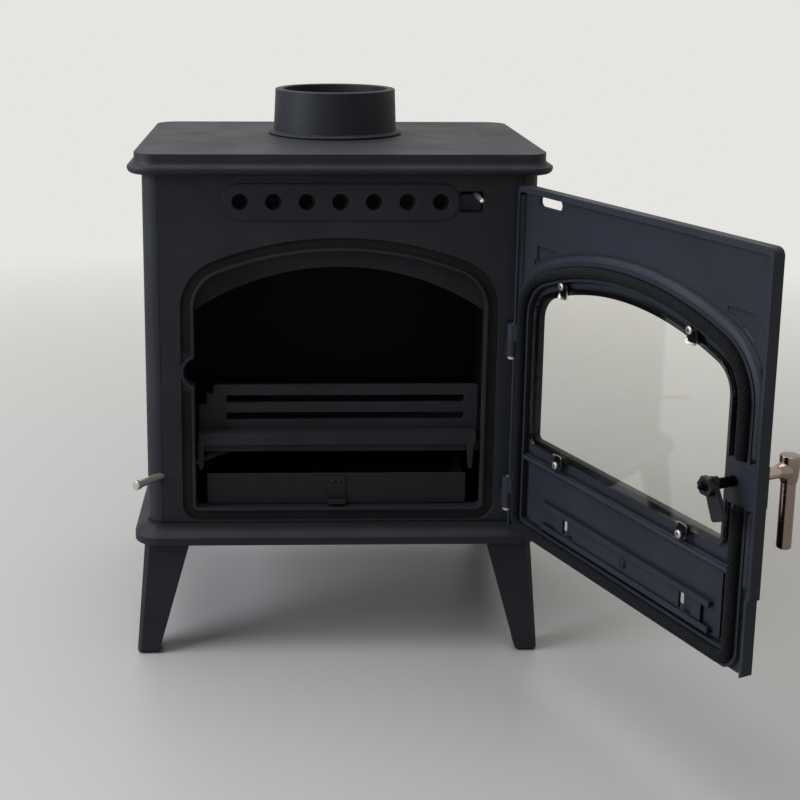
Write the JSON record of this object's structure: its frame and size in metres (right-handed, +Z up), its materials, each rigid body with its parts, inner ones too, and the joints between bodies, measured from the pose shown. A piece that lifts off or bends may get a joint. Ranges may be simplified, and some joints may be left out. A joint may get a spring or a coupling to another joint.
{
  "type": "cast iron cabinet stove",
  "caption": "Rectangular cast-iron wood stove on splayed legs with an arched glass door standing open, air slides, riddling grate, ash pan and a top flue collar.",
  "frame": {"origin": "on the floor, under the middle of the part's box with the door open as in the picture", "axes": "+X to the right seen from the front, +Y to the back, +Z up along the flue"},
  "size_m": [0.6584, 0.7097, 0.653],
  "materials": {
    "cast_iron_black": "matt stove paint on sand-cast iron",
    "cast_iron_inside": "matt stove paint, a little worn, on cast iron",
    "black_sheet_steel": "matt black folded sheet steel",
    "fire_brick": "smoke-darkened fire brick",
    "vermiculite": "pressed vermiculite board",
    "plated_steel": "zinc-plated steel",
    "polished_steel": "polished steel",
    "black_steel": "satin black steel",
    "glass_fibre_rope": "braided black glass-fibre rope and tape",
    "ceramic_glass": "clear heat-proof glass"
  },
  "bodies": {
    "stove": {"base_plate": "cast_iron_black", "leg_front_left": "cast_iron_black", "leg_front_right": "cast_iron_black", "leg_rear_left": "cast_iron_black", "leg_rear_right": "cast_iron_black", "leg_bolts": "plated_steel", "left_side": "cast_iron_black", "right_side": "cast_iron_black", "back_panel": "cast_iron_black", "front_plate": "cast_iron_black", "top_plate": "cast_iron_black", "flue_collar": "cast_iron_black", "tie_rods": "plated_steel", "tie_nuts": "plated_steel", "slide_rails": "cast_iron_inside", "airwash_deflector": "cast_iron_inside", "left_brick": "fire_brick", "right_brick": "fire_brick", "rear_brick": "fire_brick", "baffle_board": "vermiculite", "grate_frame": "cast_iron_inside", "log_fence": "cast_iron_inside", "ash_pan": "black_sheet_steel", "pan_pull": "black_sheet_steel", "hinge_pins": "plated_steel"},
    "door": {"door_casting": "cast_iron_inside", "rope_gasket": "glass_fibre_rope", "door_glass": "ceramic_glass", "glass_tape": "glass_fibre_rope", "glass_clips": "plated_steel", "clip_screws": "plated_steel"},
    "door_air_slide": {"door_slide": "cast_iron_inside", "door_slide_knob": "polished_steel"},
    "latch": {"latch_spindle": "polished_steel", "latch_blade": "cast_iron_inside", "latch_nut": "plated_steel", "handle_collar": "black_steel", "handle_tube": "polished_steel"},
    "upper_air_slide": {"air_slide": "cast_iron_inside", "lever_pin": "plated_steel"},
    "rod": {"riddling_rod": "plated_steel", "rod_knob": "plated_steel"},
    "grate_disc": {"riddling_disc": "cast_iron_inside"}
  },
  "joints": [
    {"name": "door_hinge", "type": "hinge", "parent": "stove", "child": "door", "pos_m": [0.11052, 0.01066, 0.358], "axis": [0, 0, 1], "range_deg": [-114, 12]},
    {"name": "latch_turn", "type": "hinge", "parent": "door", "child": "latch", "pos_m": [0.26802, -0.32095, 0.342], "axis": [0.9135, 0.4067, 0], "range_deg": [0, 100]},
    {"name": "door_air_slide_move", "type": "slide", "parent": "door", "child": "door_air_slide", "axis": [-0.4067, 0.9135, 0], "range_m": [-0.006, 0.014]},
    {"name": "upper_air_slide_move", "type": "slide", "parent": "stove", "child": "upper_air_slide", "axis": [1, 0, 0], "range_m": [-0.0159, 0.003]},
    {"name": "riddling_rod_slide", "type": "slide", "parent": "stove", "child": "rod", "axis": [0.6428, 0.766, 0], "range_m": [-0.015, 0.015]},
    {"name": "grate_disc_turn", "type": "hinge", "parent": "stove", "child": "grate_disc", "pos_m": [-0.08848, 0.18366, 0.2502], "axis": [0, 0, 1], "range_deg": [-16, 16]}
  ],
  "couplings": [
    {"joint": "grate_disc_turn", "follows": "riddling_rod_slide", "rad_per_m": -18.245}
  ]
}
